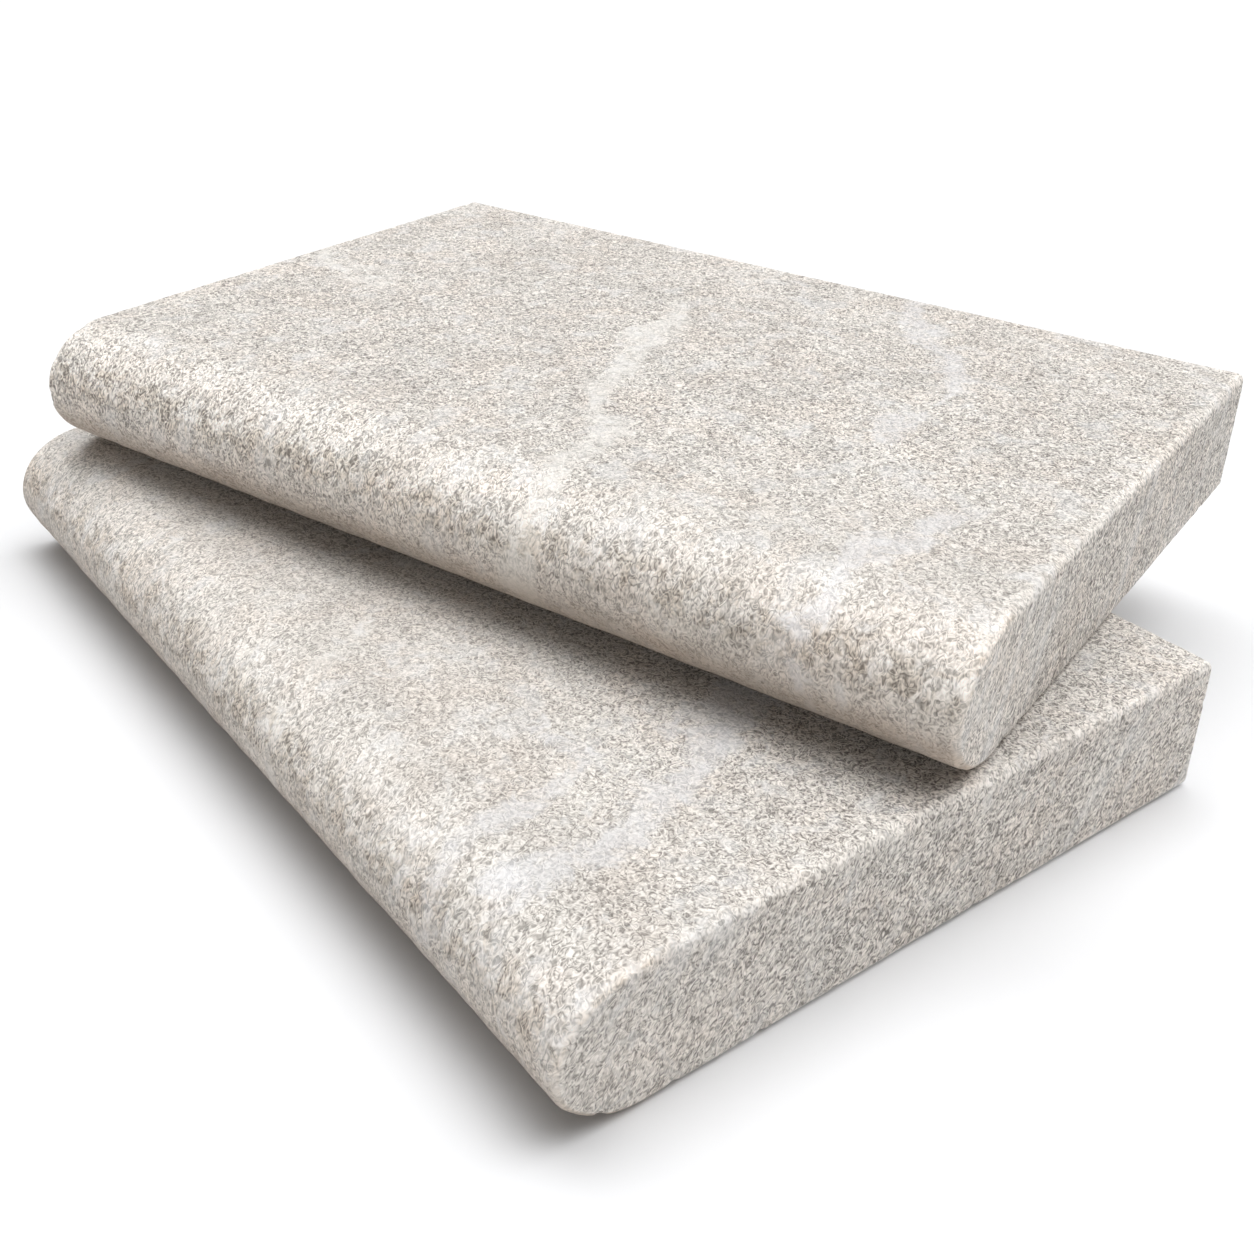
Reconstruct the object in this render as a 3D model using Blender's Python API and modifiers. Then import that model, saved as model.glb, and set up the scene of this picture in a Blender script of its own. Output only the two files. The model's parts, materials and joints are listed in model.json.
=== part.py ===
"""A pair of granite slabs, one long edge of each worked to a half-round nose, stacked one on the other.

The lower slab lies square to the world axes with the middle of its underside at the origin and its
nose towards -Y. The upper slab rests on it, turned and set back, and lifts off straight up.
"""

import math

import bpy

# Slab, the same for both
SLAB_LENGTH = 0.305
SLAB_WIDTH = 0.203
SLAB_THICKNESS = 0.038
NOSE_DEPTH = 0.023
NOSE_SEGMENTS = 40
ARRIS_RADIUS = 0.0024
ARRIS_SEGMENTS = 3

# How the upper slab lies on the lower one
REST_GAP = 0.0003
UPPER_TURN = math.radians(17.8)
UPPER_SET_LEFT = 0.022
UPPER_SET_BACK = 0.0505

LOWER_STONE = (0.585, 0.548, 0.507, 1.0)
UPPER_STONE = (0.610, 0.572, 0.530, 1.0)
STONE_ROUGHNESS = 0.82

WELD_DISTANCE = 0.00001
FLAT_ANGLE = math.radians(1)
ARRIS_ANGLE = math.radians(40)


def clear_scene():
    for obj in list(bpy.data.objects):
        bpy.data.objects.remove(obj, do_unlink=True)


def stone_material(name, colour):
    """Matt granite: rough, never metallic."""
    material = bpy.data.materials.new(name)
    material.use_nodes = True
    shader = material.node_tree.nodes["Principled BSDF"]
    shader.inputs["Base Color"].default_value = colour
    shader.inputs["Roughness"].default_value = STONE_ROUGHNESS
    shader.inputs["Metallic"].default_value = 0.0
    material.diffuse_color = colour
    return material


def slab_section():
    """The slab seen from its end, centred: a flat back, and a nose that is half an ellipse."""
    back = SLAB_WIDTH / 2
    nose_root = -SLAB_WIDTH / 2 + NOSE_DEPTH
    half_thickness = SLAB_THICKNESS / 2
    points = [(back, -half_thickness), (back, half_thickness)]
    for step in range(NOSE_SEGMENTS + 1):
        angle = math.pi / 2 + math.pi * step / NOSE_SEGMENTS
        points.append((nose_root + NOSE_DEPTH * math.cos(angle), half_thickness * math.sin(angle)))
    return points


def make_slab(name, material, collection):
    """The end section, filled and run out along the length, with every sharp edge taken off."""
    section = slab_section()
    curve = bpy.data.curves.new(name, "CURVE")
    curve.dimensions = "2D"
    curve.fill_mode = "BOTH"
    curve.extrude = SLAB_LENGTH / 2
    spline = curve.splines.new("POLY")
    spline.points.add(len(section) - 1)
    for point, (across, up) in zip(spline.points, section):
        point.co = (across, up, 0.0, 1.0)
    spline.use_cyclic_u = True
    curve.materials.append(material)

    slab = bpy.data.objects.new(name, curve)
    collection.objects.link(slab)
    # Section across on +Y and up on +Z, run along X.
    slab.rotation_euler = (math.pi / 2, 0.0, math.pi / 2)

    weld = slab.modifiers.new("weld", "WELD")
    weld.merge_threshold = WELD_DISTANCE
    # Each end is one flat face, so that the arris keeps its full width.
    one_face_ends = slab.modifiers.new("one_face_ends", "DECIMATE")
    one_face_ends.decimate_type = "DISSOLVE"
    one_face_ends.angle_limit = FLAT_ANGLE
    arris = slab.modifiers.new("arris", "BEVEL")
    arris.width = ARRIS_RADIUS
    arris.segments = ARRIS_SEGMENTS
    arris.limit_method = "ANGLE"
    arris.angle_limit = ARRIS_ANGLE
    return slab


def build():
    clear_scene()
    collection = bpy.data.collections.new("stacked_granite_slabs")
    bpy.context.scene.collection.children.link(collection)

    lower = make_slab("lower_slab", stone_material("lower_stone", LOWER_STONE), collection)
    lower.location = (0.0, 0.0, SLAB_THICKNESS / 2)

    # The upper slab's seat: the middle of its underside, on the line that it lifts along.
    seat = bpy.data.objects.new("upper_slab_seat", None)
    collection.objects.link(seat)
    seat.location = (-UPPER_SET_LEFT, UPPER_SET_BACK, SLAB_THICKNESS + REST_GAP)
    seat.rotation_euler = (0.0, 0.0, UPPER_TURN)

    upper = make_slab("upper_slab", stone_material("upper_stone", UPPER_STONE), collection)
    upper.parent = seat
    upper.location = (0.0, 0.0, SLAB_THICKNESS / 2)


build()
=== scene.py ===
"""A pair of granite slabs with rounded noses, stacked one on the other, in a plain white studio."""

import json
import math

import bmesh
import bpy
import numpy as np
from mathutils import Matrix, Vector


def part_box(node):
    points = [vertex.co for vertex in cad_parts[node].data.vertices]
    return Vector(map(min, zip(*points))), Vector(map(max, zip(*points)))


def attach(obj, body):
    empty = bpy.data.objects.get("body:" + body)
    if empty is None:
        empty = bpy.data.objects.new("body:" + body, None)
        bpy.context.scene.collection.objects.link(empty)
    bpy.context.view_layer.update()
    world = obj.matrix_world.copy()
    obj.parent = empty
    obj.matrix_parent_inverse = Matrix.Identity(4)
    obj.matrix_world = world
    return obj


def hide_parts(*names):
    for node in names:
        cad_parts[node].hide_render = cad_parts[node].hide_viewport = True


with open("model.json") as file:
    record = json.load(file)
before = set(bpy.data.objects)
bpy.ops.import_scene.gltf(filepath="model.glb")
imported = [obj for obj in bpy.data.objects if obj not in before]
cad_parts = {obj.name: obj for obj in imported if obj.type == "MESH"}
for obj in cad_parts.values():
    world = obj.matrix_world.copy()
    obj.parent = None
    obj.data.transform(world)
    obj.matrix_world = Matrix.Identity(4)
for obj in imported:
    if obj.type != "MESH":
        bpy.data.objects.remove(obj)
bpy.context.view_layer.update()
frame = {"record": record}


# ---------------------------------------------------------------------------------------------
# The lower slab: one block of pale fine-grained granite, sawn to size. Its front long edge is ground
# to a rounded nose, its other edges are eased to a small arris, and it is blasted matt all over. It
# stands loose on the floor.
# ---------------------------------------------------------------------------------------------

slab_low, slab_high = (np.array(corner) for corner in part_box("lower_slab"))
SLAB_LENGTH, SLAB_WIDTH, SLAB_THICKNESS = slab_high - slab_low
NOSE_DEPTH = 0.023
ARRIS_RADIUS = 0.0024

GRID_STEP = 0.0016
ARRIS_STEPS = 6
NOSE_STEPS = 44
BACK_STEPS = 22
END_RINGS = 12
CLOSING_GAP = 0.00002

# How deep the blasting's swells and pits, the grinding's lumps and the arrises' chips go
SWELL_DEPTH = 0.00007
PIT_DEPTH = 0.00006
LUMP_DEPTH = 0.00022
CHIP_DEPTH = 0.0006


def section_loop():
    """The slab's end outline as points and outward normals, across (nose negative) and up.

    In order: the flat underside, a half ellipse for the nose, the flat top, a quarter circle, the
    square back and a second quarter circle.
    """
    back = SLAB_WIDTH / 2
    root = -SLAB_WIDTH / 2 + NOSE_DEPTH
    half = SLAB_THICKNESS / 2
    flat = np.linspace(back - ARRIS_RADIUS, root, int((back - ARRIS_RADIUS - root) / GRID_STEP))
    rise = np.linspace(-math.pi / 2, math.pi / 2, NOSE_STEPS + 1)[1:-1]
    nose = np.stack([root - NOSE_DEPTH * np.cos(rise), half + half * np.sin(rise)], 1)
    nose_normal = np.stack([-np.cos(rise) / NOSE_DEPTH, np.sin(rise) / half], 1)
    nose_normal /= np.linalg.norm(nose_normal, axis=1, keepdims=True)
    turn = np.linspace(math.pi / 2, 0, ARRIS_STEPS + 1)[1:]
    corner_normal = np.stack([np.cos(turn), np.sin(turn)], 1)
    corner_middle = np.array([back - ARRIS_RADIUS, SLAB_THICKNESS - ARRIS_RADIUS])
    corner = corner_middle + ARRIS_RADIUS * corner_normal
    plumb = np.linspace(SLAB_THICKNESS - ARRIS_RADIUS, ARRIS_RADIUS, BACK_STEPS)[1:]
    low_normal = corner_normal[::-1] * (1, -1)
    low_corner = np.array([back - ARRIS_RADIUS, ARRIS_RADIUS]) + ARRIS_RADIUS * low_normal
    points = np.concatenate([
        np.stack([flat, np.zeros_like(flat)], 1),
        nose,
        np.stack([flat[::-1], np.full_like(flat, SLAB_THICKNESS)], 1),
        corner,
        np.stack([np.full_like(plumb, back), plumb], 1),
        low_corner[1:],
    ])
    normals = np.concatenate([
        np.tile((0.0, -1.0), (len(flat), 1)),
        nose_normal,
        np.tile((0.0, 1.0), (len(flat), 1)),
        corner_normal,
        np.tile((1.0, 0.0), (len(plumb), 1)),
        low_normal[1:],
    ])
    return points, normals


def slab_surface():
    """Points, normals and quads of a whole slab, its middle at x = y = 0 and its underside at z = 0.

    The section is carried along x. Over the last arris radius at each end it sinks in along its
    normals by r(1 - cos a) while x runs out by r sin a, and the flat end then closes in rings that
    shrink in a straight line onto the end's middle line.
    """
    section, outward = section_loop()
    ease = np.linspace(0, math.pi / 2, ARRIS_STEPS + 1)
    straight = SLAB_LENGTH / 2 - ARRIS_RADIUS
    run = np.linspace(-straight, straight, int(2 * straight / GRID_STEP))
    station_x = np.concatenate([-straight - ARRIS_RADIUS * np.sin(ease[:0:-1]), run,
                                straight + ARRIS_RADIUS * np.sin(ease[1:])])
    tilt = np.concatenate([-ease[:0:-1], np.zeros(len(run)), ease[1:]])
    sink = ARRIS_RADIUS * (1 - np.cos(tilt))
    across = section[None] - sink[:, None, None] * outward[None]
    column = across.shape[:2] + (1,)
    skin = np.concatenate([np.broadcast_to(station_x[:, None, None], column), across], 2)
    skin_normal = np.concatenate([
        np.broadcast_to(np.sin(tilt)[:, None, None], column),
        np.cos(tilt)[:, None, None] * outward[None],
    ], 2)

    spine_low = -SLAB_WIDTH / 2 + NOSE_DEPTH
    spine_high = SLAB_WIDTH / 2 - SLAB_THICKNESS / 2
    rim = across[0]
    spine_across = np.clip(rim[:, 0], spine_low, spine_high)
    spine = np.stack([spine_across, np.full(len(rim), SLAB_THICKNESS / 2)], 1)
    closing = np.linspace(0, 1, END_RINGS + 1)[1:, None, None]
    rings = rim[None] + closing * (spine - rim)[None]
    end = np.concatenate([np.full(rings.shape[:2] + (1,), SLAB_LENGTH / 2), rings], 2)
    end_normal = np.zeros_like(end)
    end_normal[..., 0] = 1.0

    mirror = np.array([-1.0, 1.0, 1.0])
    grid = np.concatenate([end[::-1] * mirror, skin, end])
    normal = np.concatenate([end_normal[::-1] * mirror, skin_normal, end_normal])
    rows, columns = grid.shape[:2]
    here = np.arange(rows - 1)[:, None] * columns + np.arange(columns)[None]
    beside = np.arange(rows - 1)[:, None] * columns + (np.arange(columns)[None] + 1) % columns
    quads = np.stack([here, here + columns, beside + columns, beside], 2).reshape(-1, 4)
    return grid.reshape(-1, 3), normal.reshape(-1, 3), quads


def rolling_noise(points, wavelength, seed, waves=48):
    """A smooth random field between about -1 and 1: many sine waves of one length, crossed at random."""
    random = np.random.default_rng(seed)
    direction = random.normal(size=(3, waves))
    direction /= np.linalg.norm(direction, axis=0)
    pace = 2 * math.pi / (wavelength * random.uniform(0.7, 1.5, waves))
    phase = random.uniform(0, 2 * math.pi, waves)
    return np.sin(points @ (direction * pace) + phase).sum(1) * math.sqrt(2 / waves) / 1.6


def smooth_step(value, low, high):
    """0 below low, 1 above high, and an S-shaped rise between."""
    t = np.clip((value - low) / (high - low), 0, 1)
    return t * t * (3 - 2 * t)


def nearness(points, path, half_width, seed):
    """1 on a path across the slab and 0 at half_width from it, the path's edge wandering at random."""
    plan = points[:, :2] + 0.0025 * np.stack([rolling_noise(points, 0.022, seed),
                                              rolling_noise(points, 0.022, seed + 1)], 1)
    nearest = np.full(len(points), np.inf)
    for start, stop in zip(path[:-1], path[1:]):
        start, along = np.array(start), np.array(stop) - np.array(start)
        t = np.clip((plan - start) @ along / (along @ along), 0, 1)
        nearest = np.minimum(nearest, np.linalg.norm(plan - start - t[:, None] * along, axis=1))
    width = half_width * (1 + 0.55 * rolling_noise(points, 0.035, seed + 2))
    return 1 - smooth_step(nearest / np.maximum(width, 0.0005), 0.15, 1.0)


def streak_mask(points, streaks, first_seed):
    """The strongest of a slab's streaks at each point: nearness to its path times its strength."""
    mask = np.zeros(len(points))
    for number, (path, half_width, strength) in enumerate(streaks):
        mask = np.maximum(mask, strength * nearness(points, path, half_width, first_seed + 5 * number))
    return mask


def worn_arris(along, across, normals):
    """Two masks for the sawn edges: the rounded arris itself, and a band beside it on the top. Both are
    made paler later, partly as wear and partly as a painted highlight.

    The arris is where the normal leans away from every axis, but not on the nose, which is rounded too.
    """
    root = SLAB_WIDTH / 2 - NOSE_DEPTH
    lean = 1 - np.abs(normals).max(1)
    long_edges = smooth_step(lean, 0.05, 0.25) * (1 - smooth_step(-across, root - 0.001, root + 0.001))
    endwise = np.abs(normals[:, 0])
    end_edges = smooth_step(endwise, 0.08, 0.3) * (1 - smooth_step(endwise, 0.93, 0.995))
    arris = np.maximum(long_edges, end_edges)
    rim = np.minimum(SLAB_LENGTH / 2 - np.abs(along), SLAB_WIDTH / 2 - across)
    beside = 1 - smooth_step(rim, 0.4 * ARRIS_RADIUS, 2.4 * ARRIS_RADIUS)
    return arris, beside * smooth_step(normals[:, 2], 0.2, 0.8)


def nose_masks(across, normals):
    """Masks for the ground nose by how far each point faces up, and for the dust that clings to it.

    Shoulder is its upper turn, made paler with a painted highlight; belt the stained stretch under that;
    belly the underside with a soft fade onto the flat, darkened with painted shade; and dusty its lower
    half and, more thinly, the flat ends.
    """
    root = SLAB_WIDTH / 2 - NOSE_DEPTH
    facing_up = normals[:, 2]
    flat_end = smooth_step(np.abs(normals[:, 0]), 0.9, 0.99)
    ground = smooth_step(-across, root - 0.001, root + 0.001) * (1 - flat_end)
    tilt = np.degrees(np.arccos(np.clip(facing_up, -1, 1)))
    belly_painted_shade = (1 - smooth_step(facing_up, -0.55, 0.12)) * smooth_step(-across, root - 0.025, root)
    return {
        "shoulder_painted_highlight": smooth_step(tilt, -5, 38) * smooth_step(facing_up, 0.05, 0.62) * ground,
        "belt": (1 - smooth_step(facing_up, 0.60, 0.86)) * smooth_step(facing_up, 0.0, 0.35) * ground,
        "belly_painted_shade": belly_painted_shade * (1 - flat_end),
        "dusty": np.maximum(smooth_step(tilt, 48, 85) * ground, 0.45 * flat_end),
    }


def make_slab(name, warm, cool, seed, turn, seat, contrast):
    """One slab: the surface above, worn by shallow relief and chipped arrises, set down in its place.

    Its grain's contrast goes from plain to bold across the plan, along a given way between a near and a
    far distance, and is higher by end_gain on the flat ends.
    """
    points, normals, quads = slab_surface()
    along, across = points[:, 0], points[:, 1]
    arris, beside_arris = worn_arris(along, across, normals)

    nose = smooth_step(-across, SLAB_WIDTH / 2 - 0.75 * NOSE_DEPTH, SLAB_WIDTH / 2 - 0.2 * NOSE_DEPTH)
    swell = 0.5 + 0.5 * rolling_noise(points, 0.045, seed)
    pits = 0.5 + 0.5 * rolling_noise(points, 0.007, seed + 1)
    lumps = 0.5 + 0.5 * rolling_noise(points, 0.011, seed + 2)
    chips = smooth_step(rolling_noise(points, 0.006, seed + 3), 0.55, 1.2)
    depth = SWELL_DEPTH * swell + PIT_DEPTH * pits + LUMP_DEPTH * nose * lumps + CHIP_DEPTH * arris * chips
    worn_points = points - np.maximum(depth, 0)[:, None] * normals

    plan_way = contrast["way"][0] * along + contrast["way"][1] * across
    blend = smooth_step(plan_way, contrast["near"], contrast["far"])
    flat_end = smooth_step(np.abs(normals[:, 0]), 0.9, 0.99)
    spread = contrast["plain"] + (contrast["bold"] - contrast["plain"]) * blend
    masks = {
        "spread": spread * (1 + contrast["end_gain"] * flat_end),
        "warm_streak": streak_mask(worn_points, warm, seed + 100),
        "cool_streak": streak_mask(worn_points, cool, seed + 300),
        "arris": np.maximum(arris, 0.6 * beside_arris),
        **nose_masks(across, normals),
    }

    c, s = math.cos(turn), math.sin(turn)
    placed = worn_points @ np.array([[c, s, 0], [-s, c, 0], [0, 0, 1]]) + seat
    mesh = bpy.data.meshes.new(name)
    mesh.from_pydata(placed, [], quads)
    for mask_name, values in masks.items():
        mesh.attributes.new(mask_name, "FLOAT", "POINT").data.foreach_set("value", values)
    closing = bmesh.new()
    closing.from_mesh(mesh)
    bmesh.ops.remove_doubles(closing, verts=closing.verts, dist=CLOSING_GAP)
    bmesh.ops.recalc_face_normals(closing, faces=closing.faces)
    closing.to_mesh(mesh)
    closing.free()
    mesh.shade_smooth()
    slab = bpy.data.objects.new(name, mesh)
    bpy.context.scene.collection.objects.link(slab)
    return slab


def link(tree, source, target):
    tree.links.new(source, target)


def math_node(tree, operation, first, second=None):
    node = tree.nodes.new("ShaderNodeMath")
    node.operation = operation
    for socket, value in zip(node.inputs, (first, second)):
        if isinstance(value, (int, float)):
            socket.default_value = value
        elif value is not None:
            link(tree, value, socket)
    return node.outputs[0]


def vector_times(tree, vector, factors):
    node = tree.nodes.new("ShaderNodeVectorMath")
    node.operation = "MULTIPLY"
    node.inputs[1].default_value = factors
    link(tree, vector, node.inputs[0])
    return node.outputs[0]


def mix_colour(tree, factor, first, second, blend="MIX"):
    node = tree.nodes.new("ShaderNodeMix")
    node.data_type = "RGBA"
    node.blend_type = blend
    for socket, value in ((node.inputs[0], factor), (node.inputs[6], first), (node.inputs[7], second)):
        if isinstance(value, (int, float, tuple)):
            socket.default_value = value
        else:
            link(tree, value, socket)
    return node.outputs[2]


def ramp(tree, factor, stops):
    """A colour ramp. Each stop is a position and a grey value or a colour."""
    node = tree.nodes.new("ShaderNodeValToRGB")
    while len(node.color_ramp.elements) < len(stops):
        node.color_ramp.elements.new(0.5)
    for element, (position, value) in zip(node.color_ramp.elements, stops):
        element.position = position
        element.color = (value, value, value, 1) if isinstance(value, (int, float)) else value
    link(tree, factor, node.inputs[0])
    return node.outputs[0]


def grey(tree, value):
    """A value as a colour, which may be above 1."""
    node = tree.nodes.new("ShaderNodeCombineColor")
    for socket in node.inputs:
        if socket.type == "VALUE":
            link(tree, value, socket)
    return node.outputs[0]


def noise(tree, vector, scale, detail, roughness, distortion):
    """A noise texture's value. Its scale is in cells a metre, so 1000 has cells of about 1 mm."""
    node = tree.nodes.new("ShaderNodeTexNoise")
    node.inputs["Scale"].default_value = scale
    node.inputs["Detail"].default_value = detail
    node.inputs["Roughness"].default_value = roughness
    node.inputs["Distortion"].default_value = distortion
    link(tree, vector, node.inputs["Vector"])
    return node.outputs["Fac"]


CURL_TURNS = 3.0
CRYSTAL_LEAN = math.radians(30)
CRYSTAL_DRAW = 1.5
WISP_SQUEEZE = 0.28

DARK_CRYSTAL = (0.205, 0.188, 0.171, 1)
MIDDLE_CRYSTAL = (0.650, 0.608, 0.565, 1)
PALE_CRYSTAL = (0.985, 0.937, 0.883, 1)
WARM_TINT = (1.0, 0.981, 0.966, 1)
COOL_TINT = (0.981, 0.988, 0.988, 1)
WISP_STONE = (0.76, 0.762, 0.772, 1)
VEIN_STONE = (0.80, 0.785, 0.765, 1)
FLECK = (0.17, 0.16, 0.145, 1)


def granite_group():
    """Grain of a fine pale granite: its crystals' colour and height at a place in the block.

    Contrast is how far light and dark crystals differ, and stain darkens them all.
    """
    group = bpy.data.node_groups.new("granite_grain", "ShaderNodeTree")
    group.interface.new_socket("Place", in_out="INPUT", socket_type="NodeSocketVector")
    group.interface.new_socket("Contrast", in_out="INPUT", socket_type="NodeSocketFloat")
    group.interface.new_socket("Stain", in_out="INPUT", socket_type="NodeSocketFloat")
    group.interface.new_socket("Colour", in_out="OUTPUT", socket_type="NodeSocketColor")
    group.interface.new_socket("Height", in_out="OUTPUT", socket_type="NodeSocketFloat")
    entry = group.nodes.new("NodeGroupInput")
    leave = group.nodes.new("NodeGroupOutput")
    place = entry.outputs["Place"]

    # The crystals are drawn out a little along a line that leans back from upright
    lean = group.nodes.new("ShaderNodeMapping")
    lean.inputs["Rotation"].default_value = (CRYSTAL_LEAN, 0, 0)
    link(group, place, lean.inputs["Vector"])
    drawn = vector_times(group, lean.outputs[0], (1, 1, 1 / CRYSTAL_DRAW))

    # Curly interlocked crystals, about 1 mm across: level lines of two smooth noises, and a fine dust
    def curls(scale):
        field = noise(group, drawn, scale, 0.0, 0.5, 0.8)
        return math_node(group, "SINE", math_node(group, "MULTIPLY", field, 2 * math.pi * CURL_TURNS))

    both = math_node(group, "ADD", curls(500.0), curls(750.0))
    dust = math_node(group, "SUBTRACT", noise(group, drawn, 2000.0, 1.0, 0.5, 0.6), 0.5)
    crystal = math_node(group, "ADD", math_node(group, "MULTIPLY", both, 0.25),
                        math_node(group, "MULTIPLY", dust, 0.45))
    crystal = math_node(group, "MULTIPLY", crystal, entry.outputs["Contrast"])
    crystal = math_node(group, "ADD", crystal, 0.5)
    stained = math_node(group, "SUBTRACT", crystal, entry.outputs["Stain"])
    colour = ramp(group, stained, [(0.0, DARK_CRYSTAL), (0.5, MIDDLE_CRYSTAL), (1.0, PALE_CRYSTAL)])

    # Its hue and depth drift a little from place to place
    tint = noise(group, place, 50.0, 3.0, 0.6, 0.5)
    patch = noise(group, place, 42.0, 3.0, 0.6, 0.4)
    warm = ramp(group, tint, [(0.48, 0.0), (0.64, 1.0)])
    cool = ramp(group, tint, [(0.36, 1.0), (0.5, 0.0)])
    colour = mix_colour(group, warm, colour, WARM_TINT, "MULTIPLY")
    colour = mix_colour(group, cool, colour, COOL_TINT, "MULTIPLY")
    colour = mix_colour(group, 1.0, colour, ramp(group, patch, [(0.35, 0.905), (0.65, 1.005)]), "MULTIPLY")

    # A few faint wisps of paler, cooler stone lie along the crystals' line
    far_drawn = vector_times(group, drawn, (1, 1, WISP_SQUEEZE))
    wisp = ramp(group, noise(group, far_drawn, 110.0, 2.0, 0.5, 0.3), [(0.56, 0.0), (0.68, 0.3)])
    colour = mix_colour(group, wisp, colour, WISP_STONE)

    # Broken hair veins of paler stone, 2 to 3 mm wide, wander all through it
    vein = math_node(group, "SUBTRACT", noise(group, place, 22.0, 4.0, 0.6, 1.0), 0.5)
    vein = ramp(group, math_node(group, "ABSOLUTE", vein), [(0.0, 1.0), (0.022, 0.0)])
    vein = math_node(group, "MULTIPLY", vein, ramp(group, patch, [(0.44, 0.0), (0.58, 0.3)]))
    colour = mix_colour(group, vein, colour, VEIN_STONE)

    # A thin scatter of dark flecks
    cells = group.nodes.new("ShaderNodeTexVoronoi")
    cells.inputs["Scale"].default_value = 520.0
    link(group, place, cells.inputs["Vector"])
    fleck = math_node(group, "LESS_THAN", cells.outputs["Distance"], 0.3)
    pick = group.nodes.new("ShaderNodeSeparateColor")
    link(group, cells.outputs["Color"], pick.inputs[0])
    rare = math_node(group, "GREATER_THAN", pick.outputs[0], 0.93)
    fleck = math_node(group, "MULTIPLY", fleck, rare)
    colour = mix_colour(group, math_node(group, "MULTIPLY", fleck, 0.55), colour, FLECK)

    link(group, colour, leave.inputs["Colour"])
    link(group, crystal, leave.inputs["Height"])
    return group


GRAIN = granite_group()

WARM_STREAK = (0.83, 0.81, 0.775, 1)
COOL_STREAK = (0.75, 0.755, 0.79, 1)
NOSE_DUST = (1.0, 0.978, 0.952, 1)
NOSE_STAIN = (0.95, 0.915, 0.87, 1)
BELLY_PAINTED_SHADE = (0.66, 0.615, 0.575, 1)
STONE_ROUGHNESS = 0.85
STONE_GLOSS = 0.3
GRAIN_HEIGHT = 0.0005


def granite(name, turn, seat, shift, tone):
    """The slab's own granite: the shared grain turned with the block, then its streaks, nose and arrises.

    Shift moves the block to its own part of the grain, and tone makes the whole slab lighter or darker.
    """
    material = bpy.data.materials.new(name)
    material.use_nodes = True
    tree = material.node_tree
    shader = tree.nodes["Principled BSDF"]
    shader.inputs["Roughness"].default_value = STONE_ROUGHNESS
    shader.inputs["Specular IOR Level"].default_value = STONE_GLOSS

    coordinates = tree.nodes.new("ShaderNodeTexCoord")
    block = tree.nodes.new("ShaderNodeMapping")
    block.inputs["Rotation"].default_value = (0, 0, -turn)
    c, s = math.cos(turn), math.sin(turn)
    block.inputs["Location"].default_value = (
        shift[0] - c * seat[0] - s * seat[1],
        shift[1] + s * seat[0] - c * seat[1],
        shift[2] - seat[2],
    )
    link(tree, coordinates.outputs["Object"], block.inputs["Vector"])
    place = block.outputs[0]

    def times(first, second):
        return math_node(tree, "MULTIPLY", first, second)

    def plus(first, second):
        return math_node(tree, "ADD", first, second)

    def mask(mask_name):
        node = tree.nodes.new("ShaderNodeAttribute")
        node.attribute_name = mask_name
        return node.outputs["Fac"]

    # Each streak frays out at its edge in wisps a few millimetres across
    wisps = times(math_node(tree, "SUBTRACT", noise(tree, place, 130.0, 4.0, 0.68, 1.2), 0.5), 3.0)
    warm = ramp(tree, plus(mask("warm_streak"), wisps), [(0.22, 0.0), (0.95, 1.0)])
    cool = ramp(tree, plus(mask("cool_streak"), wisps), [(0.22, 0.0), (0.95, 1.0)])
    fray = ramp(tree, noise(tree, place, 260.0, 3.0, 0.6, 0.8), [(0.36, 0.35), (0.56, 1.0)])
    # The edges' mask, broken up; below it makes the edges paler, partly wear and partly painted highlight
    edge_wear_and_highlight = times(mask("arris"), fray)
    belly_painted_shade = mask("belly_painted_shade")

    # Streaks, the nose's underside and the paler edges show less of the grain
    calm = plus(plus(times(plus(warm, cool), 0.2), times(belly_painted_shade, 0.35)), times(edge_wear_and_highlight, 0.35))
    spread = times(math_node(tree, "SUBTRACT", 1.0, calm), mask("spread"))

    # The ground nose holds more dust: brown clumps along its middle and a faint pinkish tint under that.
    # Its underside is darkened with painted shade, a pinkish brown.
    clump = ramp(tree, noise(tree, place, 170.0, 3.0, 0.6, 0.9), [(0.42, 1.0), (0.56, 0.0)])
    stain = times(mask("belt"), clump)

    grain = tree.nodes.new("ShaderNodeGroup")
    grain.node_tree = GRAIN
    link(tree, place, grain.inputs["Place"])
    link(tree, spread, grain.inputs["Contrast"])
    link(tree, times(stain, 0.16), grain.inputs["Stain"])
    colour = grain.outputs["Colour"]
    colour = mix_colour(tree, times(warm, 0.5), colour, WARM_STREAK)
    colour = mix_colour(tree, times(cool, 0.38), colour, COOL_STREAK)
    colour = mix_colour(tree, mask("dusty"), colour, NOSE_DUST, "MULTIPLY")
    colour = mix_colour(tree, stain, colour, NOSE_STAIN, "MULTIPLY")
    # Painted shade: the nose's underside is darkened, as where it turns away from the light towards the
    # floor or the slab below
    colour = mix_colour(tree, belly_painted_shade, colour, BELLY_PAINTED_SHADE, "MULTIPLY")
    # Painted highlight: the nose's upper turn is made paler, as if it caught more light, and the edges
    # too, there partly wear and partly painted highlight
    highlight_and_wear_gain = plus(times(mask("shoulder_painted_highlight"), 0.29), times(edge_wear_and_highlight, 0.2))
    colour = mix_colour(tree, 1.0, colour, grey(tree, plus(highlight_and_wear_gain, 1.0)), "MULTIPLY")
    colour = mix_colour(tree, 1.0, colour, (tone, tone, tone, 1), "MULTIPLY")
    link(tree, colour, shader.inputs["Base Color"])

    rough = tree.nodes.new("ShaderNodeBump")
    rough.inputs["Strength"].default_value = 0.55
    rough.inputs["Distance"].default_value = GRAIN_HEIGHT
    link(tree, grain.outputs["Height"], rough.inputs["Height"])
    link(tree, rough.outputs[0], shader.inputs["Normal"])
    return material


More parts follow.
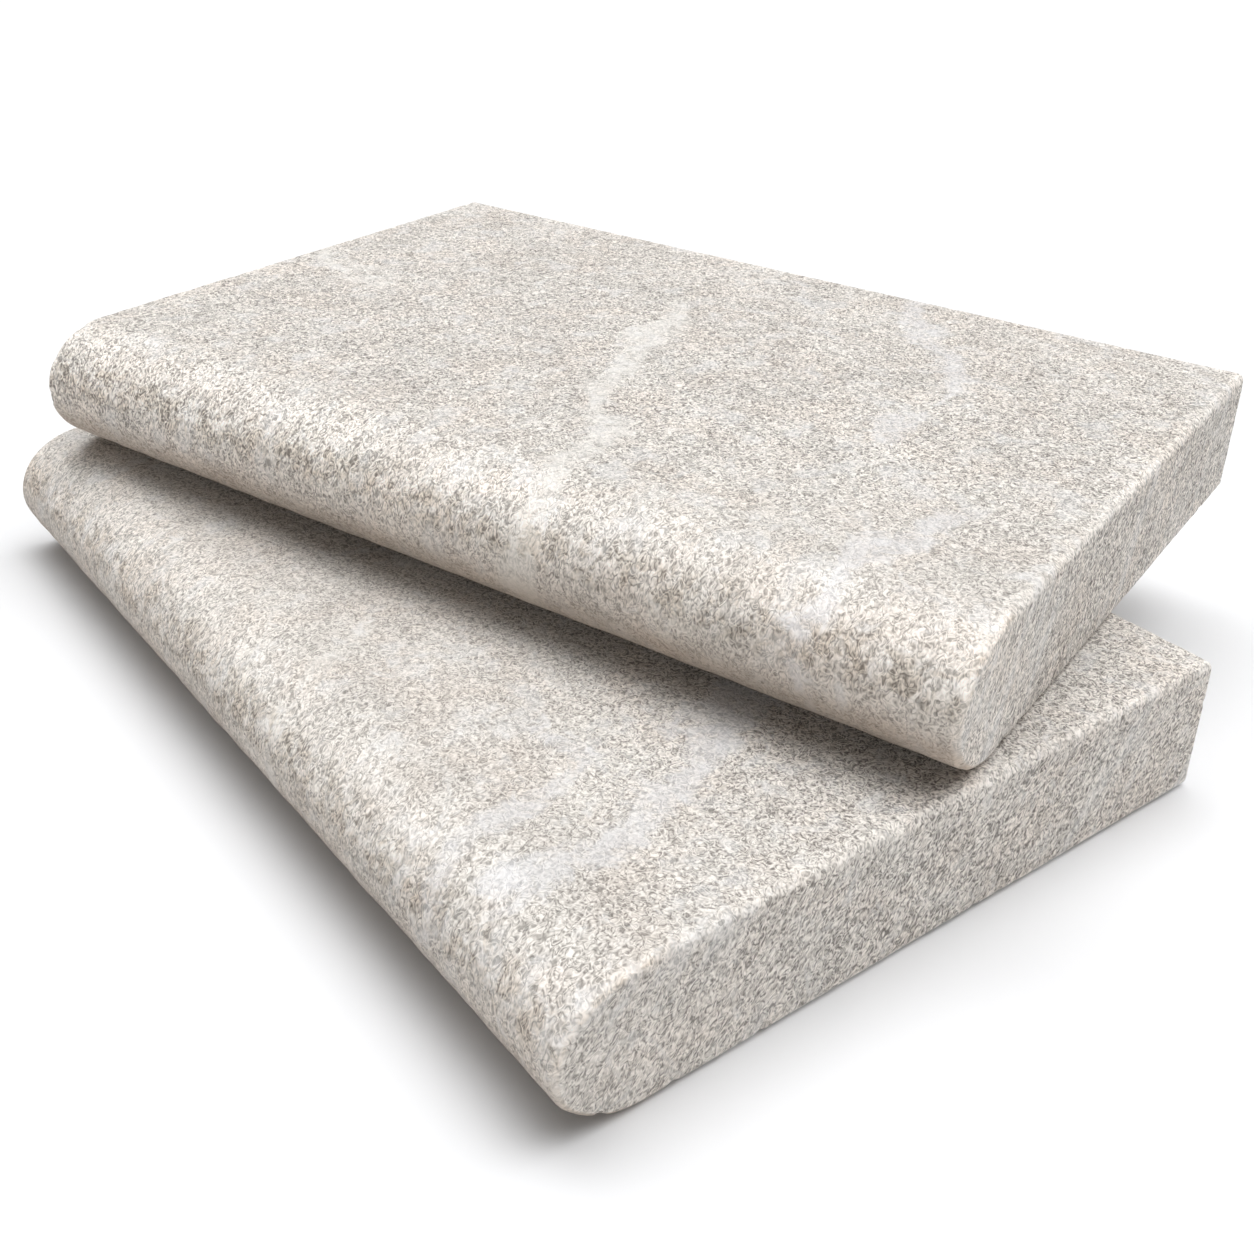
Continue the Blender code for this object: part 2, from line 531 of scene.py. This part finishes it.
# Streaks of finer, paler stone that run through the block: where each crosses the slab's plan, its
# half width and how strongly it shows. Warm ones are cream, cool ones a milky blue grey.
LOWER_WARM = [
    ([(-0.013, -0.06), (0.0, -0.057), (0.016, -0.064), (0.03, -0.1)], 0.004, 0.6),
    ([(-0.02, 0.03), (-0.05, -0.02), (-0.07, -0.07)], 0.003, 0.4),
]
LOWER_COOL = [
    ([(0.082, 0.09), (0.09, 0.0), (0.1, -0.021), (0.111, -0.034), (0.119, -0.06), (0.117, -0.09)],
     0.0085, 0.95),
    ([(0.08, -0.054), (0.094, -0.05), (0.101, -0.07), (0.101, -0.1)], 0.006, 0.75),
]
LOWER_CONTRAST = {
    "plain": 0.7, "bold": 1.0, "end_gain": 0.04,
    "way": (0.5, 1.0), "near": -0.06, "far": 0.08,
}
LOWER_SEAT = np.array([0.0, 0.0, 0.0])

lower = make_slab("lower_stone_slab", LOWER_WARM, LOWER_COOL, 11, 0.0, LOWER_SEAT, LOWER_CONTRAST)
lower.data.materials.append(granite("lower_granite", 0.0, LOWER_SEAT, (0.7, 0.4, 0.3), 0.98))
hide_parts("lower_slab")
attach(lower, "lower")


# ---------------------------------------------------------------------------------------------
# The upper slab: a second block of the same size and granite, worked the same way. It lies loose on
# the lower one, turned and set back, with nothing between them.
# ---------------------------------------------------------------------------------------------

UPPER_TURN = math.radians(17.8)
UPPER_SEAT = np.array(frame["record"]["behaviour"]["joints"][0]["pos_m"])

UPPER_WARM = [
    ([(-0.014, 0.042), (-0.006, 0.012), (0.006, -0.032), (0.024, -0.052), (0.033, -0.092), (0.036, -0.1)],
     0.0095, 0.9),
    ([(-0.1525, 0.018), (-0.132, 0.005), (-0.106, 0.001)], 0.009, 0.7),
    ([(-0.031, 0.022), (-0.038, -0.016)], 0.0026, 0.5),
    ([(-0.056, 0.08), (-0.066, 0.034)], 0.0022, 0.35),
    ([(-0.095, -0.062), (-0.118, -0.094)], 0.003, 0.35),
    ([(0.082, -0.036), (0.076, -0.06)], 0.002, 0.35),
]
UPPER_COOL = [
    ([(0.044, 0.1), (0.058, 0.072), (0.08, 0.052), (0.091, 0.028), (0.087, -0.012)], 0.0075, 0.9),
    ([(0.004, 0.094), (0.015, 0.072)], 0.003, 0.6),
    ([(0.124, -0.045), (0.116, -0.068), (0.112, -0.1)], 0.0065, 0.85),
]
UPPER_CONTRAST = {
    "plain": 0.69, "bold": 1.03, "end_gain": 0.32,
    "way": (-0.3, 1.0), "near": -0.14, "far": -0.03,
}

upper = make_slab("upper_stone_slab", UPPER_WARM, UPPER_COOL, 23, UPPER_TURN, UPPER_SEAT, UPPER_CONTRAST)
upper.data.materials.append(granite("upper_granite", UPPER_TURN, UPPER_SEAT, (-0.5, 0.2, 0.9), 1.035))
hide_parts("upper_slab")
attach(upper, "upper")


# ---------------------------------------------------------------------------------------------
# The studio floor: a wide flat board painted matt white, laid just under the lower slab.
# ---------------------------------------------------------------------------------------------

FLOOR_REACH = 6.0
FLOOR_DROP = 0.0002
FLOOR_WHITE = (0.854, 0.86, 0.872, 1)

floor_mesh = bpy.data.meshes.new("studio_floor")
floor_mesh.from_pydata(
    [(x * FLOOR_REACH, y * FLOOR_REACH, -FLOOR_DROP) for x, y in ((-1, -1), (1, -1), (1, 1), (-1, 1))],
    [], [(0, 1, 2, 3)])
floor = bpy.data.objects.new("studio_floor", floor_mesh)
bpy.context.scene.collection.objects.link(floor)
floor_paint = bpy.data.materials.new("floor_paint")
floor_paint.use_nodes = True
floor_shader = floor_paint.node_tree.nodes["Principled BSDF"]
floor_shader.inputs["Base Color"].default_value = FLOOR_WHITE
floor_shader.inputs["Roughness"].default_value = 0.9
floor_shader.inputs["Specular IOR Level"].default_value = 0.0
floor.data.materials.append(floor_paint)


# ---------------------------------------------------------------------------------------------
# The light: a white sky all round, brightest nearly overhead and soft at its edges, with a weak low
# glow from in front.
# ---------------------------------------------------------------------------------------------

# Each soft lamp: its brightness, the power of the cosine by which it falls off, and the way to its middle
# as degrees round from +X and degrees up
SKY_LAMPS = [
    (5.25, 11.8, 66, 66),
    (4.45, 14.0, 175, 67),
    (2.55, 1.0, -47, -52),
]
SKY_LEAST = 0.01


def studio_air():
    """Soft light from a white sky, which the camera sees as plain white.

    Its brightness is the sum, over two large lamps overhead and a low one in front whose middle is below
    the floor, of a power of the cosine of the angle to the lamp's middle.
    """
    world = bpy.data.worlds.new("studio_air")
    world.use_nodes = True
    tree = world.node_tree
    direction = tree.nodes.new("ShaderNodeTexCoord").outputs["Generated"]
    strength = SKY_LEAST
    for brightness, spread, round_from_x, up in SKY_LAMPS:
        bearing, height = math.radians(round_from_x), math.radians(up)
        facing = tree.nodes.new("ShaderNodeVectorMath")
        facing.operation = "DOT_PRODUCT"
        facing.inputs[1].default_value = (math.cos(height) * math.cos(bearing),
                                          math.cos(height) * math.sin(bearing), math.sin(height))
        link(tree, direction, facing.inputs[0])
        cosine = math_node(tree, "MAXIMUM", facing.outputs["Value"], 0.0)
        lamp = math_node(tree, "MULTIPLY", math_node(tree, "POWER", cosine, spread), brightness)
        strength = math_node(tree, "ADD", strength, lamp)
    sky = tree.nodes["Background"]
    sky.inputs["Color"].default_value = (1.0, 1.0, 1.0, 1)
    link(tree, strength, sky.inputs["Strength"])
    backdrop = tree.nodes.new("ShaderNodeBackground")
    backdrop.inputs["Color"].default_value = (1.0, 1.0, 1.0, 1)
    rays = tree.nodes.new("ShaderNodeLightPath")
    choose = tree.nodes.new("ShaderNodeMixShader")
    link(tree, rays.outputs["Is Camera Ray"], choose.inputs[0])
    link(tree, sky.outputs[0], choose.inputs[1])
    link(tree, backdrop.outputs[0], choose.inputs[2])
    link(tree, choose.outputs[0], tree.nodes["World Output"].inputs["Surface"])
    bpy.context.scene.world = world


studio_air()

bpy.context.scene.view_settings.view_transform = "Standard"
bpy.context.scene.view_settings.look = "None"


# ---------------------------------------------------------------------------------------------
# The camera: hand height, off the stack's front right corner, looking down on it.
# ---------------------------------------------------------------------------------------------

CAMERA_PLACE = (0.3164, -0.2137, 0.2364)
CAMERA_TURN = (62.15, -1.56, 52.43)

camera_lens = bpy.data.cameras.new("camera")
camera_lens.lens = 43.15
camera_lens.sensor_width = 36.0
camera_lens.shift_x = -0.0145
camera_lens.shift_y = -0.0625
camera_lens.clip_start = 0.01
camera = bpy.data.objects.new("camera", camera_lens)
camera.location = CAMERA_PLACE
camera.rotation_euler = [math.radians(angle) for angle in CAMERA_TURN]
bpy.context.scene.collection.objects.link(camera)
bpy.context.scene.camera = camera
